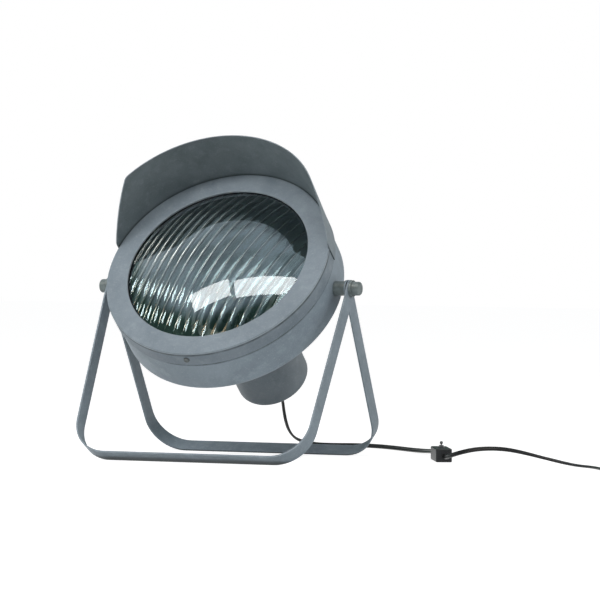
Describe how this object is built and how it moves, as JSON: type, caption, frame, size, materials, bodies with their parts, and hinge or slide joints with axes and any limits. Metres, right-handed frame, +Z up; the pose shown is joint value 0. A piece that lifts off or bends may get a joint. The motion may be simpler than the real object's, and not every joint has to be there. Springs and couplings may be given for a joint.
{
  "type": "tabletop searchlight lamp",
  "caption": "Tabletop searchlight lamp: drum head with ribbed glass lens and scoop visor, tilting on a stand of two strap hoops, with an inline toggle switch on its cord.",
  "frame": {"origin": "on the table, under the middle of the pivot axis", "axes": "+X along the pivot axis, towards the side the cord runs to; -Y towards the side the lamp shines to; +Z up"},
  "size_m": [0.7883, 0.423, 0.4143],
  "materials": {
    "grey_paint": "matte blue-grey paint, slightly mottled",
    "stand_paint": "matte blue-grey paint",
    "screw_steel": "zinc-plated steel",
    "pivot_steel": "dark grey-green plated steel",
    "lens_glass": "ribbed clear glass",
    "black_rubber": "matte black rubber",
    "spring_steel": "spring steel",
    "phenolic": "dark moulded phenolic",
    "ceramic": "glazed white ceramic",
    "brass": "plain brass",
    "wire_sheath": "insulated cores",
    "bulb_glass": "clear glass",
    "cap_metal": "aluminium cap",
    "filament": "mount and filament",
    "cord_black": "matte black twin cord",
    "switch_black": "satin black plastic",
    "switch_inner": "pale insulating plastic",
    "toggle_metal": "nickel-plated",
    "plug_black": "satin black plastic"
  },
  "bodies": {
    "stand": {"cord_coil": "cord_black", "cord_drop": "cord_black", "cord_lead": "cord_black", "cord_tail": "cord_black", "cord_to_switch": "cord_black", "front_strap": "stand_paint", "plug_body": "plug_black", "plug_pins": "brass", "rear_strap": "stand_paint", "strap_spacers": "screw_steel", "switch_base": "switch_black", "switch_case_screws": "screw_steel", "switch_clamps": "switch_inner", "switch_contact_block": "switch_inner", "switch_cord_ends": "cord_black", "switch_cores": "wire_sheath", "switch_cover": "switch_black", "switch_terminals": "brass", "toggle_bush": "toggle_metal", "toggle_nut": "toggle_metal"},
    "head": {"head_shell": "grey_paint", "bezel_ring": "grey_paint", "visor": "grey_paint", "bezel_screws": "screw_steel", "bezel_nuts": "screw_steel", "lens_glass": "lens_glass", "lens_gasket": "black_rubber", "lens_clips": "spring_steel", "lens_clip_nuts": "screw_steel", "rear_cup": "grey_paint", "cup_screws": "screw_steel", "cup_nuts": "screw_steel", "cord_grip": "black_rubber", "cord_root": "cord_black", "stem_tube": "brass", "stem_nuts": "brass", "holder_base": "phenolic", "holder_sleeve": "phenolic", "holder_insert": "ceramic", "holder_terminals": "brass", "holder_thread_shell": "brass", "holder_contact": "brass", "lead_wires": "wire_sheath", "bulb_glass": "bulb_glass", "bulb_cap": "cap_metal", "bulb_contact": "cap_metal", "bulb_filament": "filament", "pivot_bolts": "screw_steel", "backing_plates": "screw_steel", "spacer_bushes": "pivot_steel", "inner_washers": "pivot_steel", "outer_washers": "pivot_steel"},
    "switch_toggle": {"toggle_lever": "toggle_metal"},
    "knob_right": {"knob_right": "pivot_steel"},
    "knob_left": {"knob_left": "pivot_steel"}
  },
  "joints": [
    {"name": "head_tilt", "type": "hinge", "parent": "stand", "child": "head", "pos_m": [0, 0, 0.219], "axis": [1, 0, 0], "range_deg": [-24.3, 50.7], "deforming": ["cord_drop"]},
    {"name": "knob_right_turn", "type": "hinge", "parent": "head", "child": "knob_right", "pos_m": [0.178, 0, 0.219], "axis": [1, 0, 0], "range_deg": [0, 360]},
    {"name": "knob_left_turn", "type": "hinge", "parent": "head", "child": "knob_left", "pos_m": [-0.178, 0, 0.219], "axis": [-1, 0, 0], "range_deg": [0, 360]},
    {"name": "switch_toggle_tilt", "type": "hinge", "parent": "stand", "child": "switch_toggle", "pos_m": [0.26761, 0.06619, 0.01785], "axis": [0.8846, 0.4664, 0], "range_deg": [-14, 14]}
  ]
}
